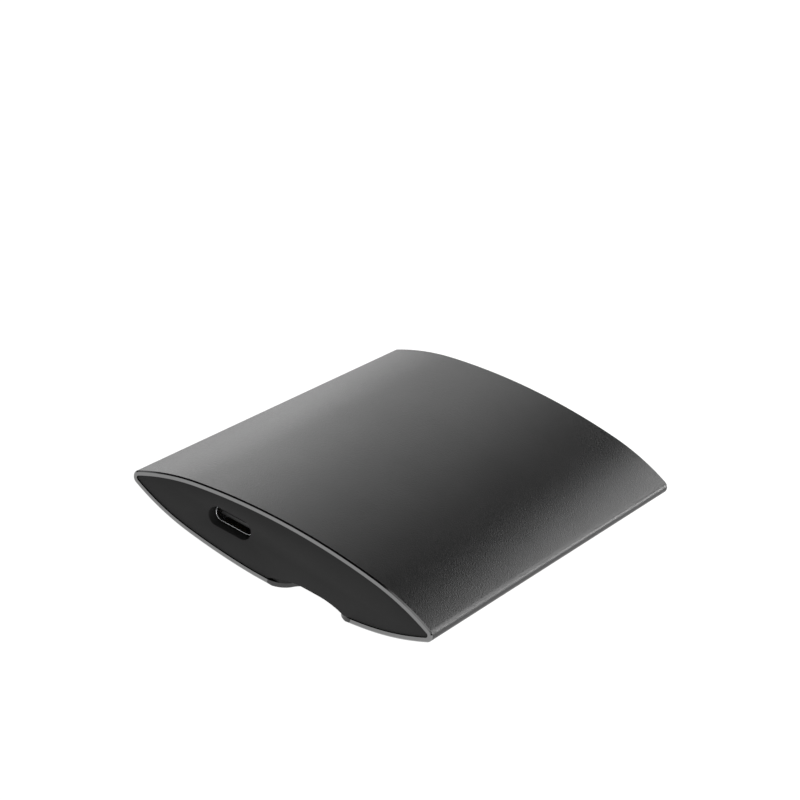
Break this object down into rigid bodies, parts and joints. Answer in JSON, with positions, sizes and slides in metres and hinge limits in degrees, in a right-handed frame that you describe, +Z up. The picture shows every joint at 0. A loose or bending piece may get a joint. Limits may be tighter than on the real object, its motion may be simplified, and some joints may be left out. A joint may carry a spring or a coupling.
{
  "type": "external solid state drive",
  "caption": "Slim external solid state drive with a lens-section metal sleeve, flat end plates, an off-centre USB-C port and a finger notch in its lower edge.",
  "frame": {"origin": "middle of the underside, on the surface the drive rests on", "axes": "+X across the width, +Y along the length away from the port end, +Z up"},
  "size_m": [0.066, 0.085, 0.0132],
  "materials": {
    "anodised_aluminium": "bead-blasted, dark grey anodised",
    "plate_plastic": "fine-textured moulded plastic",
    "tray_plastic": "moulded plastic",
    "solder_mask": "solder mask on glass laminate",
    "steel": "drawn stainless steel",
    "screw_steel": "nickel-plated steel",
    "black_nylon": "glass-filled nylon",
    "gold_plate": "gold flash",
    "brass": "turned",
    "chip_epoxy": "moulded epoxy",
    "ferrite": "pressed ferrite",
    "thermal_silicone": "soft filled silicone",
    "capacitor_ceramic": "fired ceramic"
  },
  "bodies": {
    "root": {"board_screws": "screw_steel", "bridge_board": "solder_mask", "bridge_chip": "chip_epoxy", "capacitor_1": "capacitor_ceramic", "capacitor_2": "capacitor_ceramic", "capacitor_3": "capacitor_ceramic", "capacitor_4": "capacitor_ceramic", "capacitor_5": "capacitor_ceramic", "capacitor_6": "capacitor_ceramic", "crystal": "steel", "edge_socket": "black_nylon", "firmware_chip": "chip_epoxy", "flash_chip_1": "chip_epoxy", "flash_chip_2": "chip_epoxy", "flash_controller": "chip_epoxy", "front_plate": "plate_plastic", "module_board": "solder_mask", "module_capacitor_1": "capacitor_ceramic", "module_capacitor_2": "capacitor_ceramic", "module_capacitor_3": "capacitor_ceramic", "module_power_chip": "chip_epoxy", "module_screw": "screw_steel", "power_inductor_1": "ferrite", "power_inductor_2": "ferrite", "rear_plate": "plate_plastic", "sleeve": "anodised_aluminium", "standoff": "brass", "thermal_pad": "thermal_silicone", "tray": "tray_plastic", "usb_c_contacts": "gold_plate", "usb_c_shell": "steel", "usb_c_tongue": "black_nylon"}
  },
  "joints": []
}
